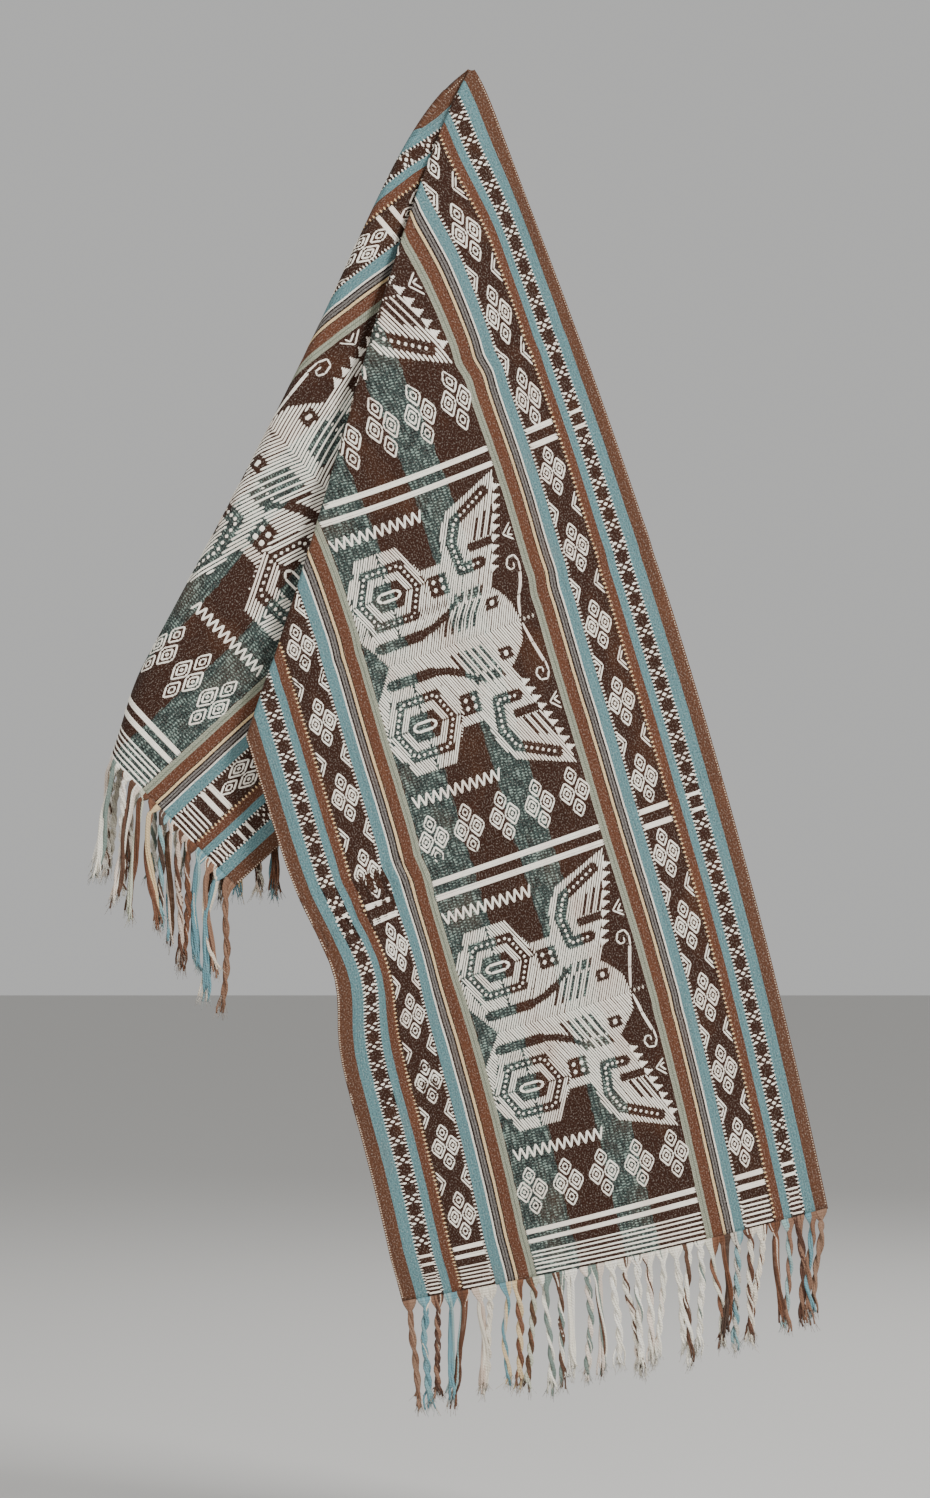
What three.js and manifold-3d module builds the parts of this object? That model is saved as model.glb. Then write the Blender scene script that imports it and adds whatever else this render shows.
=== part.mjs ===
// A long ikat shoulder cloth, hung from one point of its long edge. One end hangs as a front
// panel and the other as a shorter side panel behind it, and each ends in a warp fringe.
// Millimetres, +Z up. The origin is the hang point; the face of the cloth looks along -Y.
//
// The flat cloth is described in polar terms around the hang point: a radius and a turn angle,
// which is 0 along the edge to the long end and 180 along the edge to the short end. Hanging, a
// turn angle becomes a lean angle from straight down, because the cloth folds back and forth.
import * as THREE from 'three';
import * as BufferGeometryUtils from 'three/addons/utils/BufferGeometryUtils.js';
import Module from 'manifold-3d';

const clothWidth = 450;
const longEnd = 1233;
const shortEnd = 757;
const clothThickness = 1.8;
const innerRadius = 9;
const hangRise = 6;
const layerGapTop = 3.2;
const layerGapLow = 6.2;
const stripDepth = 5;
const stripThickness = 2.4;
const partingGap = 0.3;
const fringeLength = 112;
const locksPerEnd = 58;
const endInset = 3;
const radialSteps = 25;

const wasm = await Module();
wasm.setup();

const radians = (degrees) => (degrees * Math.PI) / 180;
const degrees = (angle) => (angle * 180) / Math.PI;
const lerp = (from, to, share) => from + (to - from) * share;
const clamp = (value, low, high) => Math.min(high, Math.max(low, value));
const ease = (value, low, high) => {
  const share = clamp((value - low) / (high - low), 0, 1);
  return share * share * (3 - 2 * share);
};
const bump = (value, centre, halfWidth) => Math.exp(-(((value - centre) / halfWidth) ** 2));

// How far each flat stretch is turned from its flat angle to its lean angle, in degrees.
const frontTurn = (radius) => -22.9 + 0.00437 * radius;
const sideTurn = (radius) => lerp(-129.5, -133.5, ease(radius, 400, 670));

// The two outlines that show: the front panel's folded edge and the side panel's outer roll.
const frontFoldLean = (radius) => 18.4 + 11 * Math.exp(-radius / 175);
const outerRollLean = (radius) =>
  28.8 + 30 * Math.exp(-radius / 113) - 1.2 * ease(radius, 700, 820);

const layerGap = (radius) => lerp(layerGapTop, layerGapLow, ease(radius, 60, 420));

// The folds, from the long end's edge to the short end's edge. turn is where the fold runs on the
// flat cloth and lean is where its loop hangs, both in degrees, and both may change with the
// radius. Layer 1 is the front panel, layer 5 the side panel and layer 6 the one behind them.
const foldTable = [
  { name: 'long_edge', turn: () => 0, lean: frontTurn },
  { name: 'front_fold', turn: (r) => frontFoldLean(r) - frontTurn(r), lean: frontFoldLean },
  { name: 'first_inner', turn: () => 70, lean: () => -8 },
  { name: 'second_inner', turn: () => 97, lean: () => 16.5 },
  { name: 'third_inner', turn: () => 124, lean: (r) => 124 + sideTurn(r) },
  { name: 'outer_roll', turn: (r) => outerRollLean(r) - sideTurn(r), lean: outerRollLean },
  { name: 'short_edge', turn: () => 180, lean: (r) => outerRollLean(r) - 16.5 },
];
const lastFold = foldTable.length - 1;

// Soft relief of the two panels that show, as a depth; negative is towards the front.
const longCorner = degrees(Math.atan2(clothWidth, longEnd));
const shortCorner = 180 - degrees(Math.atan2(clothWidth, shortEnd));

function panelRelief(layer, radius, turn) {
  if (layer === 1) {
    const wave = Math.sin(radians(turn * 17 + radius * 0.1));
    const gather = bump(radius, 940, 70) * ease(turn, 17, 27);
    return 4.5 * wave * ease(radius, 350, 1100) - 7 * gather;
  }
  if (layer === 5) {
    const forward = ease(turn + sideTurn(radius), 19.5, 25) * 2.2 * layerGap(radius);
    const curl = 10 * ease(radius, 700, 860) * ease(shortCorner + 5 - turn, 0, 9);
    return curl - forward;
  }
  return 0;
}

// The leaning in of the front panel's free edge where it is gathered.
const gatherLean = (radius, turn) =>
  -degrees(21 / radius) * bump(radius, 945, 62) * ease(turn, 20, 27.5);

// How far the front panel's gathered corner is drawn up, growing from the long edge across the
// cloth and from above the gather down to the long end.
const cornerLift = (along, across) => {
  const reach = 0.6 * ease(along, 850, 1150) + 0.4 * ease(along, 1165, longEnd);
  return 37 * Math.max(across / clothWidth, 0) ** 1.3 * reach;
};

// Depth of the middle of a layer; layers count from 1 at the front.
const backSetting = (radius) => lerp(2, 17, ease(radius, 450, 760));
const layerDepth = (layer, radius) =>
  (layer - 1) * layerGap(radius) + (layer === lastFold ? backSetting(radius) : 0);

// Everything about one radius: for each fold its turn and lean, and the half sizes of its loop.
function foldsAt(radius) {
  const folds = foldTable.map((row) => ({ turn: row.turn(radius), lean: row.lean(radius) }));
  for (let k = 1; k < lastFold; k += 1) {
    const before = panelRelief(k, radius, folds[k].turn);
    const after = panelRelief(k + 1, radius, folds[k].turn);
    folds[k].front = layerDepth(k, radius) + before;
    folds[k].back = layerDepth(k + 1, radius) + after;
    const loop = Math.abs(folds[k].back - folds[k].front) / 2;
    const room = Math.min(
      Math.abs(folds[k].lean - folds[k - 1].lean),
      Math.abs(folds[k + 1].lean - folds[k].lean),
    );
    const turnRoom = Math.min(folds[k].turn - folds[k - 1].turn, folds[k + 1].turn - folds[k].turn);
    folds[k].leanHalf = Math.min(degrees(loop / radius), 0.34 * room);
    folds[k].turnHalf = Math.min(degrees((loop * Math.PI) / 2 / radius), 0.4 * turnRoom);
  }
  folds[0].turnHalf = 0;
  folds[0].leanHalf = 0;
  folds[lastFold].turnHalf = 0;
  folds[lastFold].leanHalf = 0;
  return folds;
}

// Where a point of the flat cloth hangs.
function hang(radius, turn) {
  const folds = foldsAt(radius);
  let lean;
  let depth;
  const near = folds.findIndex(
    (fold, k) => k > 0 && k < lastFold && Math.abs(turn - fold.turn) < fold.turnHalf,
  );
  if (near > 0) {
    const fold = folds[near];
    const side = Math.sign(fold.lean - folds[near - 1].lean);
    const swing = ((turn - fold.turn) / fold.turnHalf) * (Math.PI / 2);
    lean = fold.lean - side * fold.leanHalf * (1 - Math.cos(swing));
    depth = lerp(fold.front, fold.back, 0.5 + 0.5 * Math.sin(swing));
  } else {
    let layer = 1;
    while (layer < lastFold && turn > folds[layer].turn) layer += 1;
    const from = folds[layer - 1];
    const to = folds[layer];
    const side = Math.sign(to.lean - from.lean);
    const start = from.turn + from.turnHalf;
    const share = (turn - start) / (to.turn - to.turnHalf - start);
    lean = lerp(from.lean + side * from.leanHalf, to.lean - side * to.leanHalf, share);
    depth = layerDepth(layer, radius) + panelRelief(layer, radius, turn);
    if (layer === 1) lean += gatherLean(radius, turn);
  }
  const angle = radians(lean);
  const flat = radians(turn);
  const lift = cornerLift(radius * Math.cos(flat), radius * Math.sin(flat));
  return new THREE.Vector3(
    -radius * Math.sin(angle),
    depth,
    hangRise - radius * Math.cos(angle) + lift,
  );
}

// Columns of the cloth, each a turn angle that may change with the radius. Columns follow the
// folds, and two of them run out to the cloth's far corners.
function makeColumns() {
  const columns = [];
  const spread = (count, turnAt) => {
    for (let i = 0; i < count; i += 1) columns.push((radius) => turnAt(radius, i / count));
  };
  const edgeOf = (k, side) => (radius) => {
    const fold = foldsAt(radius)[k];
    return fold.turn + side * fold.turnHalf;
  };
  const between = (from, to) => (radius, share) => lerp(from(radius), to(radius), share);
  const fixed = (turn) => () => turn;
  spread(7, between(edgeOf(0, 1), fixed(longCorner)));
  spread(7, between(fixed(longCorner), edgeOf(1, -1)));
  spread(5, between(edgeOf(1, -1), edgeOf(1, 1)));
  spread(4, between(edgeOf(1, 1), edgeOf(2, -1)));
  spread(4, between(edgeOf(2, -1), edgeOf(2, 1)));
  spread(3, between(edgeOf(2, 1), edgeOf(3, -1)));
  spread(4, between(edgeOf(3, -1), edgeOf(3, 1)));
  spread(3, between(edgeOf(3, 1), edgeOf(4, -1)));
  spread(4, between(edgeOf(4, -1), edgeOf(4, 1)));
  spread(5, between(edgeOf(4, 1), fixed(shortCorner)));
  spread(6, between(fixed(shortCorner), edgeOf(5, -1)));
  spread(7, between(edgeOf(5, -1), edgeOf(5, 1)));
  spread(5, between(edgeOf(5, 1), fixed(180)));
  columns.push(fixed(180));
  return columns;
}

// The radius at which a column meets a limit that is given as a radius for each turn angle.
function meet(column, limitAt) {
  let low = innerRadius;
  let high = longEnd + clothWidth;
  for (let i = 0; i < 44; i += 1) {
    const middle = (low + high) / 2;
    if (middle < limitAt(column(middle))) low = middle;
    else high = middle;
  }
  return (low + high) / 2;
}

const endRadius = (turn, end) => {
  const along = end * Math.cos(radians(turn));
  return along > 0 ? (end * end) / along : Infinity;
};
const clothLimit = (turn) =>
  Math.min(
    clothWidth / Math.max(Math.sin(radians(turn)), 1e-9),
    endRadius(turn, longEnd),
    endRadius(turn, -shortEnd),
  );

// A closed sheet over a grid of flat-cloth places (columns of rows of radius and turn).
function sheetGeometry(grid, thickness) {
  const columnCount = grid.length;
  const rowCount = grid[0].length;
  const middle = grid.map((column) => column.map(({ radius, turn }) => hang(radius, turn)));
  const at = (i, j) =>
    middle[clamp(i, 0, columnCount - 1)][clamp(j, 0, rowCount - 1)];
  const positions = [];
  for (const side of [-1, 1]) {
    for (let i = 0; i < columnCount; i += 1) {
      for (let j = 0; j < rowCount; j += 1) {
        const across = at(i + 1, j).clone().sub(at(i - 1, j));
        const down = at(i, j + 1).clone().sub(at(i, j - 1));
        const normal = across.cross(down).normalize();
        const point = at(i, j).clone().addScaledVector(normal, (side * thickness) / 2);
        positions.push(point.x, point.y, point.z);
      }
    }
  }
  const layerSize = columnCount * rowCount;
  const index = (side, i, j) => side * layerSize + i * rowCount + j;
  const triangles = [];
  const quad = (a, b, c, d) => triangles.push(a, b, c, a, c, d);
  for (let i = 0; i < columnCount - 1; i += 1) {
    for (let j = 0; j < rowCount - 1; j += 1) {
      quad(index(0, i, j), index(0, i, j + 1), index(0, i + 1, j + 1), index(0, i + 1, j));
      quad(index(1, i, j), index(1, i + 1, j), index(1, i + 1, j + 1), index(1, i, j + 1));
    }
  }
  for (let i = 0; i < columnCount - 1; i += 1) {
    const last = rowCount - 1;
    quad(index(0, i, 0), index(0, i + 1, 0), index(1, i + 1, 0), index(1, i, 0));
    quad(index(0, i + 1, last), index(0, i, last), index(1, i, last), index(1, i + 1, last));
  }
  for (let j = 0; j < rowCount - 1; j += 1) {
    const last = columnCount - 1;
    quad(index(0, 0, j + 1), index(0, 0, j), index(1, 0, j), index(1, 0, j + 1));
    quad(index(0, last, j), index(0, last, j + 1), index(1, last, j + 1), index(1, last, j));
  }
  const geometry = new THREE.BufferGeometry();
  geometry.setAttribute('position', new THREE.Float32BufferAttribute(positions, 3));
  geometry.setIndex(triangles);
  return geometry;
}

function faceOutward(geometry) {
  const position = geometry.getAttribute('position');
  const index = geometry.getIndex();
  const corner = [new THREE.Vector3(), new THREE.Vector3(), new THREE.Vector3()];
  let volume = 0;
  for (let t = 0; t < index.count; t += 3) {
    corner.forEach((point, c) => point.fromBufferAttribute(position, index.getX(t + c)));
    volume += corner[0].dot(corner[1].clone().cross(corner[2])) / 6;
  }
  if (volume < 0) {
    for (let t = 0; t < index.count; t += 3) {
      const second = index.getX(t + 1);
      index.setX(t + 1, index.getX(t + 2));
      index.setX(t + 2, second);
    }
  }
  return geometry;
}

const columns = makeColumns();

function clothGeometry() {
  const grid = columns.map((column) => {
    const reach = meet(column, clothLimit);
    return Array.from({ length: radialSteps + 1 }, (_, j) => {
      const radius = lerp(innerRadius, reach, (j / radialSteps) ** 1.25);
      return { radius, turn: column(radius) };
    });
  });
  return faceOutward(sheetGeometry(grid, clothThickness));
}

function toSolid(geometry) {
  const plain = geometry.clone();
  plain.deleteAttribute('normal');
  plain.deleteAttribute('uv');
  const merged = BufferGeometryUtils.mergeVertices(plain, 1e-4);
  return new wasm.Manifold(
    new wasm.Mesh({
      numProp: 3,
      vertProperties: new Float32Array(merged.getAttribute('position').array),
      triVerts: new Uint32Array(merged.getIndex().array),
    }),
  );
}

function toGeometry(solid) {
  const mesh = solid.getMesh();
  const geometry = new THREE.BufferGeometry();
  geometry.setAttribute('position', new THREE.BufferAttribute(mesh.vertProperties, 3));
  geometry.setIndex(new THREE.BufferAttribute(mesh.triVerts, 1));
  geometry.computeVertexNormals();
  return geometry;
}

// A repeatable spread of numbers from 0 to 1.
const scatter = (seed) => {
  const value = Math.sin(seed * 12.9898 + 4.1414) * 43758.5453;
  return value - Math.floor(value);
};

// One lock of warp ends: a four-sided taper that hangs straight down and sways a little.
function lockGeometry(root, seed) {
  const sections = [
    { fall: -1, half: 1.9 },
    { fall: 0.25, half: 2.3 },
    { fall: 1, half: 1.3 },
  ];
  const length = fringeLength * (0.84 + 0.22 * scatter(seed));
  const sway = (scatter(seed + 0.37) - 0.5) * 5;
  const drift = (scatter(seed + 0.71) - 0.5) * 3;
  const spin = scatter(seed + 0.53) * 0.9;
  const positions = [];
  sections.forEach(({ fall, half }, level) => {
    const down = Math.max(fall, 0);
    const drop = fall < 0 ? -1 : length * fall;
    const centre = new THREE.Vector3(
      root.x + sway * down * (0.4 + 0.6 * down),
      root.y + drift * down,
      root.z - drop,
    );
    for (let side = 0; side < 4; side += 1) {
      const angle = Math.PI / 4 + (side * Math.PI) / 2 + (level > 0 ? spin * level : 0);
      positions.push(
        centre.x + half * Math.cos(angle) * 1.1,
        centre.y + half * Math.sin(angle) * 0.75,
        centre.z,
      );
    }
  });
  const triangles = [];
  for (let level = 0; level < sections.length - 1; level += 1) {
    for (let side = 0; side < 4; side += 1) {
      const a = level * 4 + side;
      const b = level * 4 + ((side + 1) % 4);
      triangles.push(a, b + 4, b, a, a + 4, b + 4);
    }
  }
  const last = (sections.length - 1) * 4;
  triangles.push(0, 1, 2, 0, 2, 3, last, last + 2, last + 1, last, last + 3, last + 2);
  const geometry = new THREE.BufferGeometry();
  geometry.setAttribute('position', new THREE.Float32BufferAttribute(positions, 3));
  geometry.setIndex(triangles);
  return faceOutward(geometry);
}

// The last few picks beyond the cloth's end, with the locks of warp fused below them.
function fringeGeometry(end, firstColumn, lastColumn) {
  const side = Math.sign(end);
  const rows = [partingGap, stripDepth];
  const grid = columns.slice(firstColumn, lastColumn + 1).map((column) =>
    rows.map((past) => {
      const radius = meet(column, (turn) => endRadius(turn, end + side * past));
      return { radius, turn: column(radius) };
    }),
  );
  let solid = toSolid(faceOutward(sheetGeometry(grid, stripThickness)));
  const rootLine = end + side * stripDepth * 0.66;
  for (let lock = 0; lock < locksPerEnd; lock += 1) {
    const across = lerp(endInset, clothWidth - endInset, lock / (locksPerEnd - 1));
    const radius = Math.hypot(rootLine, across);
    const turn = degrees(Math.atan2(across, rootLine));
    const seed = lock + (side > 0 ? 1 : 101);
    solid = solid.add(toSolid(lockGeometry(hang(radius, turn), seed)));
  }
  return toGeometry(solid);
}

const longCornerColumn = 7;
const shortCornerColumn = 46;
const lastColumn = columns.length - 1;

const clothMaterial = new THREE.MeshStandardMaterial({ color: 0x6b4638, roughness: 0.9 });
const fringeMaterial = new THREE.MeshStandardMaterial({ color: 0x8fb0b4, roughness: 0.92 });

const ikatCloth = new THREE.Group();
const addPiece = (name, geometry, material) => {
  const piece = new THREE.Mesh(geometry, material);
  piece.name = name;
  ikatCloth.add(piece);
};
addPiece('cloth', clothGeometry(), clothMaterial);
addPiece('fringe_long_end', fringeGeometry(longEnd, 0, longCornerColumn), fringeMaterial);
addPiece('fringe_short_end', fringeGeometry(-shortEnd, shortCornerColumn, lastColumn), fringeMaterial);

export default ikatCloth;
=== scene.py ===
import math

import bpy
import numpy as np
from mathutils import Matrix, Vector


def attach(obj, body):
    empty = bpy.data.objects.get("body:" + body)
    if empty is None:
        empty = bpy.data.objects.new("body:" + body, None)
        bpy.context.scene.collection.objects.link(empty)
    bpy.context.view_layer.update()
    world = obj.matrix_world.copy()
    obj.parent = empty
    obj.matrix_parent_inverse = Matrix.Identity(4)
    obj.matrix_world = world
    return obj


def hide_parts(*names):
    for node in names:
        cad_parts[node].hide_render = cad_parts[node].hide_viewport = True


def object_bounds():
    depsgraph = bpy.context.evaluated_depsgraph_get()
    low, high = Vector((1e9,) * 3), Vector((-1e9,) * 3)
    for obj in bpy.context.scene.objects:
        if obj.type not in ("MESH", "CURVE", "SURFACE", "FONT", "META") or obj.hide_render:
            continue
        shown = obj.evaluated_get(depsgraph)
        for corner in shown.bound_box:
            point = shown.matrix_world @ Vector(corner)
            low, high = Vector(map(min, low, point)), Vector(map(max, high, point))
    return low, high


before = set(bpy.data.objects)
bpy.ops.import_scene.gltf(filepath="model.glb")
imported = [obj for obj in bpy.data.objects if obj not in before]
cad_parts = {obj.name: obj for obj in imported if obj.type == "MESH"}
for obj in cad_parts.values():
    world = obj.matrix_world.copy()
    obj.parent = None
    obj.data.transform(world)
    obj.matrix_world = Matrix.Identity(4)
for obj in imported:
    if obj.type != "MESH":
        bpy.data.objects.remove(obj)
cad_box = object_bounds()

# Camera: level with the middle of the hung cloth and square to its face, from far enough away
# that the cloth shows with hardly any perspective.
camera_distance = 6.0
view_height = 1.543
view_centre = (-0.0072, -0.6975)
sensor = 36.0

camera_data = bpy.data.cameras.new("camera")
camera_data.sensor_width = sensor
camera_data.lens = sensor * camera_distance / view_height
camera = bpy.data.objects.new("camera", camera_data)
camera.location = (view_centre[0], -camera_distance, view_centre[1])
camera.rotation_euler = (math.radians(90), 0, 0)
bpy.context.scene.collection.objects.link(camera)
bpy.context.scene.camera = camera

# The cloth: one length of warp-faced cotton, woven on a back-strap loom and about 2 m by 0.45 m.
# It hangs from one point of its long edge, so each half swings down and the width between them
# gathers in folds behind the front panel. Sizes are in millimetres and angles in degrees.
mm = 0.001
cloth_width = 450.0
cloth_middle = cloth_width / 2
long_end = 1233.0
short_end = 757.0
cloth_thickness = 1.5
inner_radius = 4.5
hang_rise = 6.0
rows_down = 214
row_growth = 1.1
slack = 1e-6
tiny = 1e-9


def ease(value, low, high):
    """A smooth step from 0 at the low value to 1 at the high one."""
    share = np.clip((value - low) / (high - low), 0, 1)
    return share * share * (3 - 2 * share)


def lerp(start, stop, share):
    return start + (stop - start) * share


def hump(value, centre, half_width):
    return np.exp(-(((value - centre) / half_width) ** 2))


# The folds' lines. On the flat cloth, a radius is the distance from the hang point and a turn is
# the angle about it. A lean is the angle from straight down once the cloth hangs.
def front_turn(radius):
    """The lean of the front panel's free edge."""
    return -22.95 + 0.00457 * radius - 14 * np.exp(-radius / 38)


def side_turn(radius):
    """What is added to a turn in the side panel to give its lean."""
    return lerp(-129.5, -133.5, ease(radius, 400, 670))


def front_fold_lean(radius):
    return 18.4 + 11 * np.exp(-radius / 175)


def outer_roll_lean(radius):
    return 28.8 + 30 * np.exp(-radius / 113) - 1.2 * ease(radius, 700, 820)


def layer_gap(radius):
    return lerp(3.2, 6.2, ease(radius, 60, 420))


def fixed(value):
    """An angle that is the same at every radius."""
    return lambda radius: value + 0 * radius


# One row for each fold, from the long end's edge to the short end's edge: its turn, and the
# lean at which its loop hangs.
fold_table = [
    (fixed(0), front_turn),
    (lambda r: front_fold_lean(r) - front_turn(r), front_fold_lean),
    (fixed(70), fixed(-8)),
    (fixed(97), fixed(16.5)),
    (fixed(124), lambda r: 124 + side_turn(r)),
    (lambda r: outer_roll_lean(r) - side_turn(r), outer_roll_lean),
    (fixed(180), lambda r: outer_roll_lean(r) - 16.5),
]
last_fold = len(fold_table) - 1
long_corner = math.degrees(math.atan2(cloth_width, long_end))
short_corner = 180 - math.degrees(math.atan2(cloth_width, short_end))


def panel_relief(layer, radius, turn):
    """How far the front panel and the side panel stand out of their flat layers."""
    if layer == 1:
        ripple = np.sin(np.radians(turn * 17 + radius * 0.1))
        gather = hump(radius, 940, 70) * ease(turn, 17, 27)
        return 4.5 * ripple * ease(radius, 350, 1100) - 7 * gather
    if layer == 5:
        forward = ease(turn + side_turn(radius), 19.5, 25) * 2.2 * layer_gap(radius)
        curl = 10 * ease(radius, 700, 860) * ease(short_corner + 5 - turn, 0, 9)
        return curl - forward
    return 0 * radius


def gather_lean(radius, turn):
    """How far the front panel's inner edge is drawn in where it buckles."""
    return -np.degrees(21 / radius) * hump(radius, 945, 62) * ease(turn, 20, 27.5)


def corner_lift(along, across):
    """How far the front panel's gathered corner is drawn up towards the side panel."""
    reach = 0.6 * ease(along, 850, 1150) + 0.4 * ease(along, 1165, long_end)
    return 37 * np.maximum(across / cloth_width, 0) ** 1.3 * reach


def layer_depth(layer, radius):
    """How far behind the front panel a layer hangs."""
    setting = lerp(2, 17, ease(radius, 450, 760)) if layer == last_fold else 0
    return (layer - 1) * layer_gap(radius) + setting


def folds_at(radius):
    """Each fold's turn, lean and depths, and half the width of its loop."""
    turns = [row[0](radius) for row in fold_table]
    leans = [row[1](radius) for row in fold_table]
    folds = [dict(turn=t, lean=l, turn_half=0 * radius, lean_half=0 * radius)
             for t, l in zip(turns, leans)]
    for k in range(1, last_fold):
        fold = folds[k]
        fold["front"] = layer_depth(k, radius) + panel_relief(k, radius, turns[k])
        fold["back"] = layer_depth(k + 1, radius) + panel_relief(k + 1, radius, turns[k])
        loop = np.abs(fold["back"] - fold["front"]) / 2
        room = np.minimum(np.abs(leans[k] - leans[k - 1]), np.abs(leans[k + 1] - leans[k]))
        turn_room = np.minimum(turns[k] - turns[k - 1], turns[k + 1] - turns[k])
        fold["lean_half"] = np.minimum(np.degrees(loop / radius), 0.34 * room)
        fold["turn_half"] = np.minimum(np.degrees(loop * math.pi / 2 / radius), 0.4 * turn_room)
    return folds


# Creases from storage, by place along the cloth, height and slant, and the jogs of the stripes at
# them, by place along, size, and middle and reach across.
storage_creases = [(280, 2.4, 0.03), (519, -2.4, -0.04), (767, 2.6, 0.05),
                   (975, -1.3, -0.03), (-330, 2.0, 0.04), (-560, -1.8, 0.02)]
stripe_jogs = [(283, 4.5, 150, 90), (519, -3.0, 200, 160), (767, 4.5, 330, 80), (975, -0.9, 150, 120)]
crease_half_width = 8
jog_half_width = 15
jog_slant = 0.04
buckle_depth = 5.5


def crease_relief(along, across):
    """Depth of the fold lines left by storage, and of the buckle in the front panel's border."""
    depth = 0 * along
    for place, height, slant in storage_creases:
        depth = depth + height * hump(along + slant * (across - cloth_middle), place,
                                      crease_half_width)
    buckle = hump(along - 0.31 * (across - 360), 772, crease_half_width) * ease(across, 300, 350)
    return depth - buckle_depth * buckle


def crease_shift(along, across):
    """How far the stripes jog sideways at creases, and sag between the panel's edges."""
    shift = 0 * along
    for place, jog, middle, reach in stripe_jogs:
        step = (along + jog_slant * (across - cloth_middle) - place) / jog_half_width
        shift = shift + jog * step * np.exp(-step * step) * hump(across, middle, reach)
    share = np.clip(across / np.clip(0.9 * along, 1, cloth_width), 0, 1)
    sag = 10 * ease(along, 60, 180) * (1 - ease(along, 380, 640)) + 6 * ease(along, 760, 960)
    return shift + sag * 4 * share * (1 - share)


def hang(radius, turn):
    """Where a place of the flat cloth hangs, in millimetres, from arrays of radius and turn."""
    folds = folds_at(radius)
    lean, depth = 0 * radius, 0 * radius
    for layer in range(1, last_fold + 1):
        before, after = folds[layer - 1], folds[layer]
        side = np.sign(after["lean"] - before["lean"])
        start = before["turn"] + before["turn_half"]
        share = (turn - start) / (after["turn"] - after["turn_half"] - start)
        inside = (share > -slack) & (share < 1 + slack)
        flat_lean = lerp(before["lean"] + side * before["lean_half"],
                         after["lean"] - side * after["lean_half"], share)
        if layer == 1:
            flat_lean = flat_lean + gather_lean(radius, turn)
        lean = np.where(inside, flat_lean, lean)
        flat_depth = layer_depth(layer, radius) + panel_relief(layer, radius, turn)
        depth = np.where(inside, flat_depth, depth)
    for k in range(1, last_fold):
        fold = folds[k]
        swing = (turn - fold["turn"]) / np.maximum(fold["turn_half"], tiny)
        inside = np.abs(swing) < 1
        side = np.sign(fold["lean"] - folds[k - 1]["lean"])
        angle = np.clip(swing, -1, 1) * math.pi / 2
        lean = np.where(inside, fold["lean"] - side * fold["lean_half"] * (1 - np.cos(angle)), lean)
        depth = np.where(inside, lerp(fold["front"], fold["back"], 0.5 + 0.5 * np.sin(angle)), depth)
    flat = np.radians(turn)
    along, across = radius * np.cos(flat), radius * np.sin(flat)
    facing = np.where((turn > folds[1]["turn"]) & (turn < folds[2]["turn"]), -1, 1)
    depth = depth + facing * crease_relief(along, across)
    lean = lean - np.degrees(crease_shift(along, across) / np.maximum(radius, 100))
    angle = np.radians(lean)
    height = hang_rise - radius * np.cos(angle) + corner_lift(along, across)
    return np.stack([-radius * np.sin(angle), depth, height], -1)


def hang_flat(along, across):
    return hang(np.hypot(along, across), np.degrees(np.arctan2(across, along)))


def face_normal(along, across):
    """The way the patterned face looks at a place of the flat cloth."""
    reach = 0.5
    down = hang_flat(along + reach, across) - hang_flat(along - reach, across)
    over = hang_flat(along, across + reach) - hang_flat(along, across - reach)
    normal = np.cross(over, down)
    return normal / np.linalg.norm(normal, axis=-1, keepdims=True)


def make_columns():
    """The turn of every column of the mesh, by radius."""
    columns = []

    def spread(count, start, stop):
        for i in range(count):
            columns.append(lambda r, s=i / count: lerp(start(r), stop(r), s))

    def edge_of(k, side):
        def turn(radius):
            fold = folds_at(radius)[k]
            return fold["turn"] + side * fold["turn_half"]
        return turn

    spread(34, edge_of(0, 1), fixed(long_corner))
    spread(32, fixed(long_corner), edge_of(1, -1))
    for k, in_loop, in_layer in ((1, 10, 12), (2, 8, 10), (3, 8, 10)):
        spread(in_loop, edge_of(k, -1), edge_of(k, 1))
        spread(in_layer, edge_of(k, 1), edge_of(k + 1, -1))
    spread(8, edge_of(4, -1), edge_of(4, 1))
    spread(22, edge_of(4, 1), fixed(short_corner))
    spread(26, fixed(short_corner), edge_of(5, -1))
    spread(16, edge_of(5, -1), edge_of(5, 1))
    spread(24, edge_of(5, 1), fixed(180))
    columns.append(fixed(180))
    return columns


def end_radius(turn, end):
    """How far out one end of the cloth lies at a turn."""
    very_far = 1e9
    along = end * np.cos(np.radians(turn))
    return np.where(along > slack, end * end / np.maximum(along, slack), very_far)


def cloth_limit(turn):
    """How far out the cloth reaches at a turn."""
    by_width = cloth_width / np.maximum(np.sin(np.radians(turn)), tiny)
    return np.minimum(by_width, np.minimum(end_radius(turn, long_end), end_radius(turn, -short_end)))


def meet(column):
    """The radius at which a column reaches the edge of the cloth, by halving."""
    halvings = 44
    low, high = inner_radius, long_end + cloth_width
    for _ in range(halvings):
        middle = (low + high) / 2
        if middle < cloth_limit(column(middle)):
            low = middle
        else:
            high = middle
    return (low + high) / 2


def make_piece(name, points, faces, flat):
    """A smooth mesh that stores where its points lie on the flat cloth or along a yarn."""
    mesh = bpy.data.meshes.new(name)
    mesh.from_pydata(np.asarray(points) * mm, [], faces)
    place = mesh.attributes.new("flat_place", "FLOAT_VECTOR", "POINT")
    place.data.foreach_set("vector", np.asarray(flat, np.float32).ravel())
    mesh.validate()
    mesh.update()
    piece = bpy.data.objects.new(name, mesh)
    bpy.context.scene.collection.objects.link(piece)
    mesh.shade_smooth()
    return piece


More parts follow.
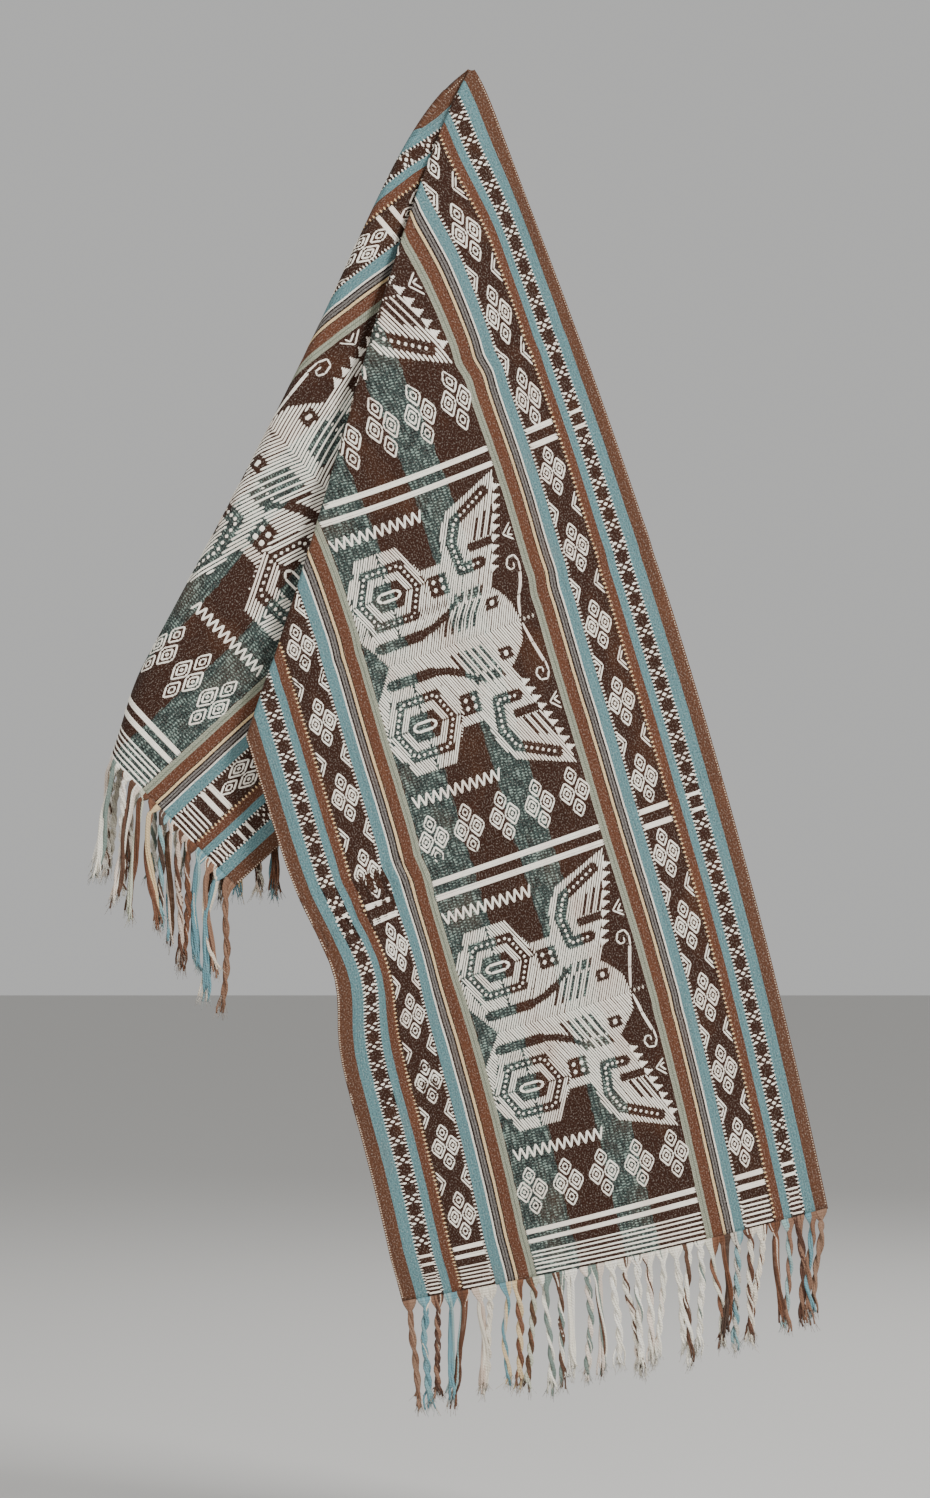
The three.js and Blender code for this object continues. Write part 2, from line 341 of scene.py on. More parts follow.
def weave_sheet(name):
    """The whole cloth as one closed thin sheet."""
    columns = make_columns()
    share = (np.arange(rows_down + 1) / rows_down) ** row_growth
    radius = np.stack([lerp(inner_radius, meet(c), share) for c in columns])
    turn = np.stack([c(r) for c, r in zip(columns, radius)])
    middle = hang(radius, turn)
    across = np.gradient(middle, axis=0)
    down = np.gradient(middle, axis=1)
    normal = np.cross(across, down)
    normal /= np.linalg.norm(normal, axis=-1, keepdims=True)
    angle = np.radians(turn)
    flat = np.stack([radius * np.cos(angle), radius * np.sin(angle), 0 * radius], -1)
    points = [(middle + normal * side * cloth_thickness / 2).reshape(-1, 3) for side in (1, -1)]
    places = [(flat + [0, 0, side]).reshape(-1, 3) for side in (1, -1)]
    count, rows = radius.shape
    grid = np.arange(count * rows).reshape(count, rows)
    a, b, c, d = grid[:-1, :-1], grid[:-1, 1:], grid[1:, 1:], grid[1:, :-1]
    front = np.stack([a, b, c, d], -1).reshape(-1, 4)
    back = np.stack([a, d, c, b], -1).reshape(-1, 4) + count * rows
    loop = np.concatenate([grid[0, :], grid[1:, -1], grid[-1, -2::-1], grid[-2:0:-1, 0]])
    step = np.roll(loop, -1)
    edge = np.stack([loop, loop + count * rows, step + count * rows, step], -1)
    return make_piece(name, np.concatenate(points), np.concatenate([front, back, edge]).tolist(),
                      np.concatenate(places))


cloth = weave_sheet("woven_cloth")


# The ground weave's colours run lengthways in the warp: mirrored stripes at both edges and a dark
# field between them that is tied and dyed in two mottled blue-green bands.
class Dye:
    """A value or colour in a material; arithmetic on it adds Math nodes."""

    def __init__(self, tree, socket=None):
        self.tree = tree
        self.socket = socket

    def node(self, kind, settings=None, inputs=None, output=0):
        made = self.tree.nodes.new(kind)
        for name, value in (settings or {}).items():
            if name == "stops":
                ramp = made.color_ramp
                while len(ramp.elements) < len(value):
                    ramp.elements.new(1.0)
                for element, (place, colour) in zip(ramp.elements, value):
                    element.position = place
                    element.color = (*colour, 1)
            elif name == "interpolation":
                made.color_ramp.interpolation = value
            else:
                setattr(made, name, value)
        for key, value in (inputs or {}).items():
            if isinstance(value, Dye):
                self.tree.links.new(value.socket, made.inputs[key])
            else:
                made.inputs[key].default_value = value
        return Dye(self.tree, made.outputs[output])

    def math(self, operation, *others):
        values = dict(enumerate((self, *others)))
        return self.node("ShaderNodeMath", {"operation": operation}, values)

    def __add__(self, other):
        return self.math("ADD", other)

    def __mul__(self, other):
        return self.math("MULTIPLY", other)

    def __sub__(self, other):
        return self.math("SUBTRACT", other)

    def __truediv__(self, other):
        return self.math("DIVIDE", other)

    def __rsub__(self, other):
        return (self * -1) + other

    __radd__ = __add__
    __rmul__ = __mul__

    def split(self):
        """The three parts of a place."""
        first = self.node("ShaderNodeSeparateXYZ", None, {0: self})
        return [Dye(self.tree, output) for output in first.socket.node.outputs]

    def above(self, limit, soft):
        """1 where this value is above a limit and 0 below it, with a soft edge."""
        ramp = {"interpolation_type": "SMOOTHSTEP"}
        return self.node("ShaderNodeMapRange", ramp, {0: self, 1: limit - soft, 2: limit + soft})

    def within(self, low, high, soft=0.3):
        return self.above(low, soft) * (1 - self.above(high, soft))

    def past(self, limit):
        """How far this value is above a limit, and 0 below it."""
        return (self - limit).math("MAXIMUM", 0.0)

    def short_of(self, limit):
        """How far this value is below a limit, and 0 above it."""
        return (limit - self).math("MAXIMUM", 0.0)

    def dyed(self, colour, strength):
        """This colour, mixed towards another one."""
        inputs = {0: strength, 6: self}
        inputs[7] = colour if isinstance(colour, Dye) else (*colour, 1)
        return self.node("ShaderNodeMix", {"data_type": "RGBA"}, inputs, output=2)


def hex_colour(text):
    """A colour written as six hex digits, as the linear numbers a shader takes."""
    parts = [int(text[i:i + 2], 16) / 255 for i in (0, 2, 4)]
    return tuple(p / 12.92 if p <= 0.04045 else ((p + 0.055) / 1.055) ** 2.4 for p in parts)


brown_edge = hex_colour("5E3E2D")
sky_blue = hex_colour("62868A")
dark_ground = hex_colour("372016")
rust_band = hex_colour("643E2C")
cream_thread = hex_colour("F6F0E2")
grey_line = hex_colour("75706C")
straw_line = hex_colour("DEC193")
pale_line = hex_colour("A3A490")
pale_dark = hex_colour("6F7565")
black_line = hex_colour("231815")
teal_tie = hex_colour("394542")
teal_pale = hex_colour("87998F")
teal_black = hex_colour("1B1F1E")
worn_brown = hex_colour("8F5A36")
carried_thread = hex_colour("CFC4B2")

# Each stripe's far side, in millimetres from the nearest edge of the cloth, and its colour.
edge_stripes = [
    (14.0, brown_edge), (25.2, sky_blue), (27.2, black_line), (39.6, dark_ground),
    (41.4, black_line), (48.6, sky_blue), (58.4, rust_band), (93.2, dark_ground),
    (103.4, sky_blue), (105.6, cream_thread), (107.2, black_line), (108.8, grey_line),
    (110.2, black_line), (111.6, grey_line), (113.6, black_line), (116.0, straw_line),
    (117.4, black_line), (127.8, rust_band), (129.8, pale_line), (131.0, pale_dark),
    (134.4, pale_line), (226.0, dark_ground),
]
cord_edge = 127.8
field_edge = 134.4
tie_bands = [(185.5, 221.5), (269.5, 314.4)]
tie_pitch = 4.1
tie_dash_pitch = 3.1
cord_pitch = 2.6
warp_pitch = 0.95
pick_pitch = 1.7


def new_material(name):
    material = bpy.data.materials.new(name)
    material.use_nodes = True
    shader = material.node_tree.nodes["Principled BSDF"]
    place = Dye(material.node_tree).node(
        "ShaderNodeAttribute", {"attribute_name": "flat_place"}, output=1)
    return material, shader, place


def finish_material(shader, colour, rough, height, depth):
    tree = shader.id_data
    bump = height.node("ShaderNodeBump", None, {"Height": height, "Distance": depth * mm})
    tree.links.new(colour.socket, shader.inputs["Base Color"])
    tree.links.new(rough.socket, shader.inputs["Roughness"])
    tree.links.new(bump.socket, shader.inputs["Normal"])
    shader.inputs["Specular IOR Level"].default_value = 0.08
    shader.inputs["Sheen Weight"].default_value = 0.04
    shader.inputs["Sheen Roughness"].default_value = 0.5


def noise(place, scale=1.0, detail=1.0):
    return place.node("ShaderNodeTexNoise", {"normalize": True},
                      {"Vector": place, "Scale": scale, "Detail": detail})


def stretched(along, across, grain_along, grain_across):
    """A place for noise whose grains have the given length and width in millimetres."""
    return along.node("ShaderNodeCombineXYZ", None,
                      {0: along / grain_along, 1: across / grain_across, 2: 0.0})


def wave(value, pitch, kind="SINE"):
    return (value * (2 * math.pi / pitch)).math(kind)


def tied_colour(along, across):
    """The mottled blue-green of the tied bands, in short dashes column by column."""
    column = (across / tie_pitch).math("FLOOR")
    shift = column.node("ShaderNodeTexWhiteNoise", {"noise_dimensions": "1D"}, {"W": column})
    tone = noise(stretched(along + shift * 40, column, 17, 1))
    dash = (along * (2 * math.pi / tie_dash_pitch) + shift * 6.3).math("SINE") * 0.085
    flecks = noise(stretched(along + across * 0.6, across, 2.2, 2.6))
    line = wave(across, tie_pitch, "COSINE") * -0.05
    stops = [(0.0, teal_black), (0.40, teal_tie), (0.60, teal_pale)]
    return tone.node("ShaderNodeValToRGB", {"stops": stops, "interpolation": "CONSTANT"},
                     {0: tone * 0.6 + flecks * 0.4 + dash + line})


def ground_material():
    material, shader, place = new_material("ikat_ground")
    along, across, side = place.split()

    # The stripes, whose edges waver a little.
    wobble = noise(stretched(along, across, 22, 60), detail=2.0)
    from_edge = across.math("MINIMUM", cloth_width - across) + (wobble - 0.5) * 0.9
    widest = edge_stripes[-1][0]
    stops = [(0.0, edge_stripes[0][1])]
    stops += [(far / widest, after[1]) for (far, _), after in zip(edge_stripes, edge_stripes[1:])]
    colour = from_edge.node("ShaderNodeValToRGB", {"stops": stops, "interpolation": "CONSTANT"},
                            {0: from_edge / widest})

    # The tied bands, feathered at their sides as the dye creeps along the yarns.
    tied = tied_colour(along, across)
    feather = noise(stretched(along, across, 9, 1.1), detail=0.0)
    for low, high in tie_bands:
        band = (across + (feather - 0.5) * 5).within(low, high, 0.4)
        inside = band * across.within(field_edge, cloth_width - field_edge, 0.2)
        colour = colour.dyed(tied, inside)

    # Uneven dye along the yarns, pale and dark slubs, and worn patches.
    streak = noise(stretched(along, across, 120, 0.9))
    patch = noise(stretched(along, across, 70, 45), detail=3.0)
    speckle = noise(stretched(along, across, 1.9, 1.3), detail=0.0)
    colour = colour.dyed(black_line, streak.short_of(0.62) * 0.75)
    colour = colour.dyed(cream_thread, speckle.past(0.54) * 0.5)
    colour = colour.dyed(black_line, speckle.short_of(0.46) * 1.7)
    colour = colour.dyed(worn_brown, patch.past(0.55) * 0.5)

    # The twist of the pale cord beside the field.
    cord = (along * (2 * math.pi / cord_pitch) + from_edge * 2.2).math("SINE")
    colour = colour.dyed(pale_dark, cord.above(0.1, 0.4) * from_edge.within(cord_edge, field_edge) * 0.6)

    # On the back, the figures' cotton shows where it is carried from one figure to the next.
    carried = noise(stretched(along, across, 48, 3.1)).above(0.53, 0.03)
    panel = from_edge.within(60, 92) + from_edge.above(field_edge + 2, 0.5)
    at_back = side.math("LESS_THAN", 0.0)
    colour = colour.dyed(carried_thread, carried * panel * at_back * 0.8)

    thread = wave(across, 2 * warp_pitch).math("ABSOLUTE")
    pick = (along * (math.pi / pick_pitch) + across * 0.8).math("SINE").math("ABSOLUTE")
    height = thread * 0.5 + pick * 0.5 + speckle * 0.35
    finish_material(shader, colour, 0.78 + speckle * 0.16, height, 0.5)
    return material


cloth.data.materials.append(ground_material())
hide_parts("cloth")
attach(cloth, "root")

# The figures: off-white cotton carried as raised floats over the ground weave, in slanting runs
# that narrow each shape row by row. Every float is a small domed ribbon lying on the cloth. The
# figures are charted in units of 1.03 mm, along the cloth from the hang point and across it.
chart_mm = 1.03
float_height = 0.62
float_step = 5.5
most_steps = 60
float_sunk = 0.06
hatch_slope = 0.47
random = np.random.default_rng(7)


class Floats:
    """A list of raised threads, each from one place of the flat cloth to another."""

    def __init__(self):
        self.rows = []

    def add(self, start, stop, width, height=float_height):
        self.rows.append((*start, *stop, width, height))

    def path(self, points, *size):
        for start, stop in zip(points, points[1:]):
            self.add(start, stop, *size)

    def mesh(self, name, material):
        """All the threads as one piece."""
        rows = np.array(self.rows)
        length = np.hypot(rows[:, 2] - rows[:, 0], rows[:, 3] - rows[:, 1])
        steps = np.clip(np.ceil(length / float_step), 1, most_steps).astype(int) + 1
        points, faces, flats = [], [], []
        total = 0
        for count in np.unique(steps):
            group = rows[steps == count]
            share = np.linspace(0, 1, count + 1)
            if count > 2:
                taper = 0.35 / (count - 1)
                share[1], share[-2] = taper, 1 - taper
            at_tip = (share == 0) | (share == 1)
            size = group[:, 4:5] * np.where(at_tip, 0.45, 1.0)
            lift = group[:, 5:6] * np.where(at_tip, 0.1, 1.0)
            start, stop = group[:, None, 0:2], group[:, None, 2:4]
            centre = start + (stop - start) * share[None, :, None]
            run = (stop - start) / np.maximum(np.linalg.norm(stop - start, axis=-1, keepdims=True), slack)
            over = np.stack([-run[..., 1], run[..., 0]], -1)
            strip = []
            for side, raised in ((-0.5, 0.0), (0.0, 1.0), (0.5, 0.0)):
                place = centre + over * side * size[..., None]
                normal = face_normal(place[..., 0], place[..., 1])
                height = cloth_thickness / 2 + lift * raised - float_sunk * (1 - raised)
                strip.append(hang_flat(place[..., 0], place[..., 1]) + normal * height[..., None])
            each = (count + 1) * 3
            index = np.arange(len(group) * each).reshape(len(group), count + 1, 3) + total
            for rail in (0, 1):
                quad = np.stack([index[:, :-1, rail], index[:, :-1, rail + 1],
                                 index[:, 1:, rail + 1], index[:, 1:, rail]], -1)
                faces.append(quad.reshape(-1, 4))
            points.append(np.stack(strip, 2).reshape(-1, 3))
            middles = np.repeat(centre[:, :, None, :], 3, axis=2)
            flats.append(np.concatenate([middles, 0 * middles[..., :1]], -1).reshape(-1, 3))
            total += len(group) * each
        piece = make_piece(name, np.concatenate(points), np.concatenate(faces).tolist(),
                           np.concatenate(flats))
        piece.data.materials.append(material)
        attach(piece, "root")
        return piece


def inside_shape(shape, x, y):
    """Whether each place lies inside a closed outline."""
    within = np.zeros(x.shape, bool)
    for (x0, y0), (x1, y1) in zip(shape, shape[1:] + shape[:1]):
        crosses = (y0 > y) != (y1 > y)
        reach = x0 + (y - y0) * (x1 - x0) / ((y1 - y0) or tiny)
        within ^= crosses & (x < reach)
    return within


def near_path(path, half_width, x, y):
    """Whether each place lies within a band along a path."""
    near = np.zeros(x.shape, bool)
    for (x0, y0), (x1, y1) in zip(path, path[1:]):
        run = (x1 - x0) ** 2 + (y1 - y0) ** 2
        share = np.clip(((x - x0) * (x1 - x0) + (y - y0) * (y1 - y0)) / run, 0, 1)
        near |= np.hypot(x - x0 - share * (x1 - x0), y - y0 - share * (y1 - y0)) < half_width
    return near


def hexagon(centre, flat, shoulder, peak):
    x, y = centre
    return [(x - flat, y - shoulder), (x, y - peak), (x + flat, y - shoulder),
            (x + flat, y + shoulder), (x, y + peak), (x - flat, y + shoulder)]


def box(x0, y0, x1, y1):
    return [(x0, y0), (x1, y0), (x1, y1), (x0, y1)]


# Half of the bird: first number away from its middle line, second across the cloth. Its shapes
# go from back to front, thread or bare ground. A band is a path of bare ground, its half width,
# and whether it has dots. A slit is a start, a level and a length along the floats' slope.
medal = (66, 267)
bird_axis = 160
bird_shapes = [
    (True, [(0, 286), (32, 306), (79, 306), (110, 288), (110, 248), (80, 231), (80, 209), (108, 203),
            (126, 190), (148, 133), (50, 165), (41, 169), (35, 163), (20, 151), (0, 148)]),
    (False, hexagon(medal, 30, 20, 33)),
    (True, hexagon(medal, 22, 15, 25)),
    (False, hexagon(medal, 12.5, 11.5, 18)),
    (False, box(50, 209, 70, 227)),
    (False, box(80, 155, 87, 180)),
    (False, box(20, 165, 30.5, 177)),
]
bird_bands = [
    ([(19, 288), (19, 246)], 4.4, False),
    ([(19, 246), (23, 230), (28, 221)], 3.2, False),
    ([(28, 221), (41, 203)], 1.9, False),
    ([(131, 150), (113, 186), (94, 195), (66, 192), (67, 172)], 5.0, True),
]
bird_slits = [(89, 158 + 7.4 * i, 26 - 3.5 * i) for i in range(3)]
bird_slits += [(10, 194 + 7.4 * i, 23) for i in range(5)]
bird_slits += [(37, 181 + 7.0 * i, 8) for i in range(5)]
slit_half_width = 1.5
dot_pitch = 5.5
trace_step = 0.7


def bird_thread(x, y):
    """Whether half the bird has thread at each place of its chart."""
    thread = np.zeros(x.shape, bool)
    for white, shape in bird_shapes:
        thread = np.where(inside_shape(shape, x, y), white, thread)
    for path, half_width, _ in bird_bands:
        thread &= ~near_path(path, half_width, x, y)
    for start, level, length in bird_slits:
        slant = y - level + hatch_slope * (x - start)
        thread &= ~((x > start) & (x < start + length) & (np.abs(slant) < slit_half_width))
    return thread


def half_bird(hatch_pitch):
    """Every float of half the bird, in chart units, from the distance between its runs."""
    found = []

    def lay_floats(x, y, thread):
        edges = np.flatnonzero(np.diff(np.concatenate([[0], thread.astype(int), [0]])))
        for first, last in zip(edges[::2], edges[1::2] - 1):
            if last - first >= 2:
                past = trace_step if x[first] == 0 else 0.0
                start = (x[first] - past, y[first] + past * hatch_slope)
                found.append((start, (x[last], y[last])))

    reach = np.arange(0, 150, trace_step)
    medal_edge = hexagon(medal, 44, 22, 38)
    for level in np.arange(134, 380, hatch_pitch):
        y = level - hatch_slope * reach
        lay_floats(reach, y, bird_thread(reach, y) & ~inside_shape(medal_edge, reach, y))
    for ring in np.arange(1.4, 60, hatch_pitch):
        for side in (-1, 1):
            y = medal[1] + side * (ring - hatch_slope * np.abs(reach - medal[0]))
            facing = (y - medal[1]) * side > 0.4
            for part in (reach <= medal[0], reach >= medal[0]):
                kept = facing & part & inside_shape(medal_edge, reach, y)
                lay_floats(reach, y, bird_thread(reach, y) & kept)
    return found


def spaced(path, pitch):
    """Places at an even pitch along a path."""
    places = []
    for (x0, y0), (x1, y1) in zip(path, path[1:]):
        length = math.hypot(x1 - x0, y1 - y0)
        count = max(1, round(length / pitch))
        for i in range(count):
            share = (i + 0.5) / count
            places.append((lerp(x0, x1, share), lerp(y0, y1, share)))
    return places


def bird_extras():
    """The dots, saw teeth, feelers and small marks of half the bird, as strokes."""
    marks = []

    def stroke(path, width):
        marks.extend((start, stop, width) for start, stop in zip(path, path[1:]))

    def dot(x, y, half=1.5, width=3.7):
        stroke([(x - half, y), (x + half, y)], width)

    ring = hexagon(medal, 26, 17.5, 29)
    for x, y in spaced(ring + ring[:1], dot_pitch):
        dot(x, y)
    slot = hexagon(medal, 4.0, 8.0, 12.0)
    stroke(slot + slot[:1], 3.0)
    for path, _, dotted in bird_bands:
        for x, y in spaced(path, dot_pitch) if dotted else []:
            dot(x, y)
    for x in (56, 64):
        for y in (214, 222):
            dot(x, y, 2.2, 5.0)
    stroke([(22.5, 171), (28, 171)], 4.6)
    for i in range(9):
        x = 53 + 9.2 * i
        y = 165 - 0.327 * (x - 50)
        for run, drop in ((0, 0), (1.2, 2.0), (2.3, 4.0), (3.3, 5.8)):
            stroke([(x + run, y - 0.8 - drop), (x + 7.8 - run, y - 2.6 - drop)], 2.3)
    for shift in (0, 2.8):
        stroke([(3 + shift, 147.5), (24, 142 + shift * 0.6), (45, 136 + shift * 0.6)], 1.6)
    stroke([(45, 136), (55, 135), (62, 138), (61, 145), (54, 148), (49, 145), (50, 140.5),
            (55, 140.5)], 2.1)
    for y in (135.5, 140, 144.5):
        dot(0, y, 2, 3.0)
    for size in (0, 4.5):
        stroke([(76 + size, 133.5), (84 - size / 3, 143 - size), (93 - size, 133.5)], 1.8)
    return marks


# A flower's four petals: shift along and across, half length and half width, and the sizes of
# the lozenges nested in it, all as shares.
flower_petals = [
    (0.60, 0.0, 0.40, 0.42, (0.84, 0.36)), (-0.60, 0.0, 0.40, 0.42, (0.84, 0.36)),
    (0.0, 0.50, 0.48, 0.50, (0.86, 0.48, 0.12)), (0.0, -0.50, 0.48, 0.50, (0.86, 0.48, 0.12)),
]
petal_flat = 0.16
petal_stroke = 2.0


def flower(floats, place, long_half, wide_half):
    """A four-petalled flower of nested lozenges about a place in millimetres."""
    along, across = place
    for shift, aside, length, width, scales in flower_petals:
        for scale in scales:
            x, y = along + shift * long_half, across + aside * wide_half
            reach, half = length * long_half * scale, width * wide_half * scale
            flat = reach * petal_flat
            corners = [(x - reach, y), (x - flat, y + half), (x + flat, y + half),
                       (x + reach, y), (x + flat, y - half), (x - flat, y - half), (x - reach, y)]
            floats.path(corners, petal_stroke)


def zigzag(floats, along, ends, pitch, tall, width):
    low, high = ends
    count = round((high - low) / pitch)
    line = []
    for i in range(2 * count + 1):
        rise = tall / 2 if i % 2 else -tall / 2
        line.append((along + rise, lerp(low, high, i / (2 * count))))
    floats.path(line, width)


def bar(floats, along, ends, threads, width=2.15, height=0.8):
    """A weft stripe: threads side by side across the cloth, none of them quite straight."""
    pitch = 1.9
    shake = 0.2
    low, high = ends
    for i in range(threads):
        line = along + (i - (threads - 1) / 2) * pitch
        floats.add((line + random.normal(0, shake), low), (line + random.normal(0, shake), high),
                   width, height)


def edge_side(mirrored):
    """Turns a distance from one edge of the cloth into a place across it."""
    def across(value):
        return cloth_width - value if mirrored else value
    return across


def band_ends(across, band):
    return sorted((across(band[0]), across(band[1])))


# Where each bird's unit starts along the cloth, its length and the way it faces, where the pairs
# of bars lie, and what stands in a unit beside its bird.
bird_units = [(768, 380, 1), (367, 401, 1), (-159, 526, 1), (-159, 530, -1)]
bar_places = [1148, 768, 367, -159, -689]
end_places = [(1148, 1), (-689, -1)]
long_unit = 450
unit_zigzags = [(30, 214, 304), (293, 210, 300)]
flower_row = [(333, 290.5 - 36.4 * i) for i in range(5)]
field_ends = (field_edge + 1.0, cloth_width - field_edge - 1.0)
panel_ends = (60.8, 92.4)
chain_ends = (27.2, 39.8)
chain_bar_ends = (26.6, 40.4)


def bar_lines():
    """Where each bar of every pair lies, in millimetres along the cloth."""
    outermost = [place for place, _ in end_places]
    for place in bar_places:
        gap = 5.6 if place in outermost else 7.9
        for side in (-1, 1):
            yield (place + side * gap) * chart_mm


def field_figures():
    floats = Floats()
    bird_marks = bird_extras()
    for origin, length, way in bird_units:
        stretch = length / 380 * way
        hatch_pitch, run_width = (3.3, 2.1) if length > long_unit else (2.5, 1.6)

        def put(x, y):
            return ((origin + x * stretch) * chart_mm, y * chart_mm)

        bird_runs = half_bird(hatch_pitch)
        for side in (-1, 1):
            for (x0, y0), (x1, y1) in bird_runs:
                shake = random.normal(0, 0.16, 2)
                floats.add(put(bird_axis + side * x0, y0 + shake[0]),
                           put(bird_axis + side * x1, y1 + shake[1]), run_width)
            for (x0, y0), (x1, y1), width in bird_marks:
                floats.add(put(bird_axis + side * x0, y0), put(bird_axis + side * x1, y1), width)
        for place, low, high in unit_zigzags:
            zigzag(floats, put(place, 0)[0], (low * chart_mm, high * chart_mm), 8.0, 13.5, 2.3)
        for place in flower_row:
            flower(floats, put(*place), 26.5 * abs(stretch) ** 0.8 * chart_mm, 15.8 * chart_mm)
    for along in bar_lines():
        bar(floats, along, field_ends, 3)
    return floats


def end_lines():
    """The thin weft lines between the last bars and the fringe, right across the cloth."""
    floats = Floats()
    for place, way in end_places:
        for i in range(6):
            along = (place + way * (20 + 5.0 * i)) * chart_mm
            bands = [field_ends]
            for mirrored in (False, True):
                bands += [band_ends(edge_side(mirrored), band) for band in (panel_ends, chain_ends)]
            for ends in bands:
                bar(floats, along, ends, 1, width=2.4, height=0.6)
    return floats


def cotton_material(name, colour, tint):
    material, shader, place = new_material(name)
    along, across, _ = place.split()
    patch = noise(stretched(along, across, 60, 40), detail=2.0)
    fleck = noise(stretched(along, across, 1.6, 1.6))
    base = noise(stretched(along, across, 5, 5))
    shade = fleck.node("ShaderNodeMix", {"data_type": "RGBA"},
                       {0: patch.past(0.47) * 1.8, 6: (*colour, 1), 7: (*tint, 1)}, output=2)
    shade = shade.dyed(hex_colour("8B7565"), fleck.past(0.54) * 0.6)
    strand = ((along + across) * 4.2).math("SINE").math("ABSOLUTE")
    finish_material(shader, shade, 0.72 + base * 0.2, strand * 0.4 + fleck * 0.6, 0.35)
    return material


cream_cotton = cotton_material("cream_cotton", cream_thread, hex_colour("D9BFAE"))
woven_figures = [field_figures().mesh("field_figures", cream_cotton),
                 end_lines().mesh("end_lines", cream_cotton)]

# The border bands, the same on both edges and floats of cotton too: a chain of small stars, flowers
# with chevrons between them, saw-tooth edges where stripes meet, and lines of straw and pale ticks.
chain_middle = 33.4
flower_middle = 77.2
flower_half_width = 14.0
chevron_rise = 7.5
chevron_edges = [(61.4, 1), (92.0, -1)]
hang_clear = 14.0
tooth_margin = 4.0

# A short and a long span between bars: pitch of stars, count of flowers, their half length, and
# the half length of the chevrons.
short_span = (23.4, 5, 27.5, 13.5)
long_span = (26, 6, 34.0, 16.0)

# Rows of teeth and ticks: place from the edge, the way they point, pitch, length and width.
cream_rows = [(24.8, 1, 4.05, 3.2, 2.1), (42.0, -1, 4.05, 3.2, 2.1), (93.8, -1, 4.05, 3.2, 2.1)]
straw_rows = [(57.4, 1, 4.75, 3.3, 2.3), (114.0, 1, 2.6, 1.7, 2.3)]
pale_rows = [(0.3, 1, 2.7, 1.7, 1.7)]


def star_chain(floats, across, low, high, period):
    corner = 3.9
    count = max(1, round((high - low) / period))
    step = (high - low) / count
    for i in range(count):
        centre = low + (i + 0.5) * step
        floats.add((centre, across(chain_middle - 2.1)), (centre, across(chain_middle + 2.1)), 4.2)
        for side in (-1, 1):
            for end in (-1, 1):
                x, y = centre + end * corner, chain_middle + side * corner
                floats.add((x, across(y - 2.3)), (x, across(y + 2.3)), 3.1)


def tooth_row(floats, across, level, inward, pitch, length, width):
    """A row of teeth along the cloth, but for the part round the hang point."""
    low, high = -short_end + tooth_margin, long_end - tooth_margin
    count = round((high - low) / pitch)
    for i in range(count):
        along = lerp(low, high, (i + 0.5) / count) + random.normal(0, 0.12)
        if math.hypot(along, level) < hang_clear:
            continue
        floats.add((along, across(level)), (along, across(level + inward * length)), width, 0.45)


def flower_panel(floats, across, start, stop, count, flower_reach, chevron_reach):
    first = start + 39
    step = (stop - 39 - first) / (count - 1)
    for i in range(count):
        along = (first + i * step) * chart_mm
        flower(floats, (along, across(flower_middle)), flower_reach * chart_mm,
               flower_half_width * chart_mm)
        if i + 1 == count:
            continue
        between = along + step * chart_mm / 2
        for edge, way in chevron_edges:
            for size in (1.0, 0.6):
                tip = (between, across(edge + way * chevron_rise * size))
                wide = chevron_reach * size
                chevron = [(between - wide, across(edge)), tip, (between + wide, across(edge))]
                floats.path(chevron, 1.75, 0.5)


def border_bands():
    cream, straw, pale = Floats(), Floats(), Floats()
    upward = bar_places[::-1]
    for mirrored in (False, True):
        across = edge_side(mirrored)
        for start, stop in zip(upward, upward[1:]):
            period, *panel = long_span if stop - start > long_unit else short_span
            star_chain(cream, across, start * chart_mm + 12 * chart_mm,
                       stop * chart_mm - 12 * chart_mm, period)
            flower_panel(cream, across, start, stop, *panel)
        for along in bar_lines():
            bar(cream, along, band_ends(across, panel_ends), 3)
            bar(cream, along, band_ends(across, chain_bar_ends), 2)
        for floats, rows in ((cream, cream_rows), (straw, straw_rows), (pale, pale_rows)):
            for row in rows:
                tooth_row(floats, across, *row)
    return cream, straw, pale


straw_cotton = cotton_material("straw_cotton", straw_line, hex_colour("D8A878"))
pale_cotton = cotton_material("pale_cotton", hex_colour("CDB8A0"), hex_colour("B58E76"))
for name, floats, material in zip(("border_figures", "straw_ticks", "pale_ticks"), border_bands(),
                                  (cream_cotton, straw_cotton, pale_cotton)):
    woven_figures.append(floats.mesh(name, material))

# The fringe: the warp ends left past the weave, gathered about every 14 mm into locks of plied
# cotton yarn that hang straight down and fray at their tips. Some locks have come untwisted.
lock_pitch = 13.6
yarns_per_lock = 12
yarn_radius = 1.35
long_fringe_length = 118.0
short_fringe_length = 130.0
loose_share = 0.4
ply_pitch = 30.0
loose_stretch = 5
tube_sides = 5
stations = 26
turn_down = 9.0
frays_per_yarn = 3
fray_stations = 5
fray_sides = 3
full_turn = 2 * math.pi

# The warp colours that a lock draws on, by the far side of their stripe.
end_colours = [
    (17.0, ["80604D", "6A4B3A", "8E705C"]), (27.0, ["6A959E", "7FA5AA"]),
    (43.0, ["DDD0BC", "50362B", "8C6A56"]), (53.5, ["6A959E", "5F8A95", "93B0AE"]),
    (65.0, ["6E4935", "5B3D2E"]), (92.2, ["47301F", "E6DDCB", "5E4032", "CDB9A8"]),
    (103.2, ["6A959E", "88ABAE"]), (115.0, ["D9C096", "4A3A31", "CDC6B8"]),
    (129.0, ["66422F", "7A5440", "58402F"]), (137.0, ["C2C4B0", "D8D4C2"]),
    (226.0, ["F1ECDD", "ECE6D6", "F3EFE4", "EFEADB", "77877F", "E2D3C4", "5C4234"]),
]


